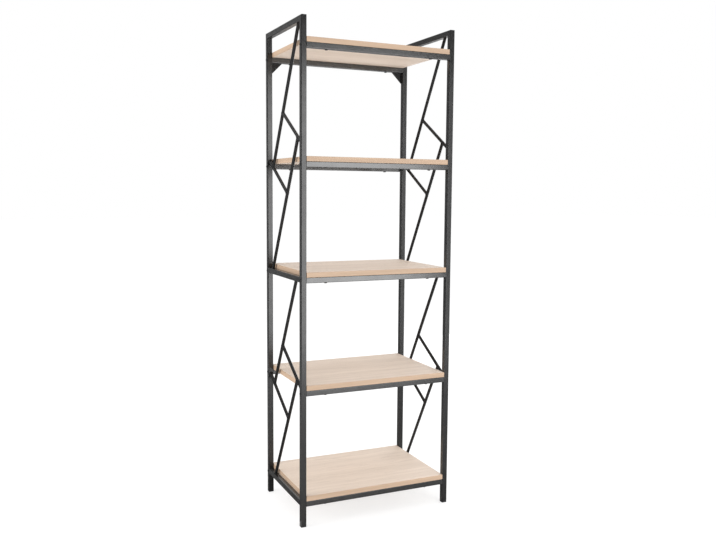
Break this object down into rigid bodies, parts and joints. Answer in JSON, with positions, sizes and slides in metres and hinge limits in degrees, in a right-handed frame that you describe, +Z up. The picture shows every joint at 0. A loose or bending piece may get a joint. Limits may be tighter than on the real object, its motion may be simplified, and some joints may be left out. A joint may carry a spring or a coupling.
{
  "type": "open shelving unit",
  "caption": "Tall open shelving unit: square-tube side frames with slanting round braces, tube rails bolted between the posts, and pale oak-laminate boards screwed on the rails.",
  "frame": {"origin": "on the floor, at the middle of the unit's width and depth", "axes": "+Z up, +X to the right when facing the unit, front towards -Y"},
  "size_m": [0.6058, 0.4, 1.8],
  "materials": {
    "frame_paint": "satin anthracite powder coat",
    "oak_laminate": "matte pale oak laminate with a printed straight grain",
    "oak_edge_band": "matte oak-look edge banding",
    "foot_plastic": "matte black plastic",
    "blackened_steel": "black-coated fasteners",
    "plain_steel": "plain zinc-plated steel"
  },
  "bodies": {
    "root": {"bottom_shelf_board": "oak_laminate", "bottom_shelf_edge_bands": "oak_edge_band", "bottom_shelf_front_rail": "frame_paint", "bottom_shelf_rear_rail": "frame_paint", "front_left_foot": "foot_plastic", "front_left_post": "frame_paint", "front_right_foot": "foot_plastic", "front_right_post": "frame_paint", "left_frame_bottom_rail": "frame_paint", "left_frame_middle_rail": "frame_paint", "left_frame_top_rail": "frame_paint", "left_gusset_plate": "frame_paint", "left_lower_long_brace_bottom": "frame_paint", "left_lower_long_brace_top": "frame_paint", "left_lower_short_brace_front": "frame_paint", "left_lower_short_brace_rear": "frame_paint", "left_upper_long_brace_bottom": "frame_paint", "left_upper_long_brace_top": "frame_paint", "left_upper_short_brace_front": "frame_paint", "left_upper_short_brace_rear": "frame_paint", "lower_shelf_board": "oak_laminate", "lower_shelf_edge_bands": "oak_edge_band", "lower_shelf_front_rail": "frame_paint", "lower_shelf_rear_rail": "frame_paint", "middle_shelf_board": "oak_laminate", "middle_shelf_edge_bands": "oak_edge_band", "middle_shelf_front_rail": "frame_paint", "middle_shelf_rear_rail": "frame_paint", "rail_bolts": "blackened_steel", "rail_end_blocks": "plain_steel", "rear_left_foot": "foot_plastic", "rear_left_post": "frame_paint", "rear_right_foot": "foot_plastic", "rear_right_post": "frame_paint", "right_frame_bottom_rail": "frame_paint", "right_frame_middle_rail": "frame_paint", "right_frame_top_rail": "frame_paint", "right_gusset_plate": "frame_paint", "right_lower_long_brace_bottom": "frame_paint", "right_lower_long_brace_top": "frame_paint", "right_lower_short_brace_front": "frame_paint", "right_lower_short_brace_rear": "frame_paint", "right_upper_long_brace_bottom": "frame_paint", "right_upper_long_brace_top": "frame_paint", "right_upper_short_brace_front": "frame_paint", "right_upper_short_brace_rear": "frame_paint", "shelf_screws": "blackened_steel", "top_shelf_board": "oak_laminate", "top_shelf_edge_bands": "oak_edge_band", "top_shelf_front_rail": "frame_paint", "top_shelf_rear_rail": "frame_paint", "upper_shelf_board": "oak_laminate", "upper_shelf_edge_bands": "oak_edge_band", "upper_shelf_front_rail": "frame_paint", "upper_shelf_rear_rail": "frame_paint"}
  },
  "joints": []
}
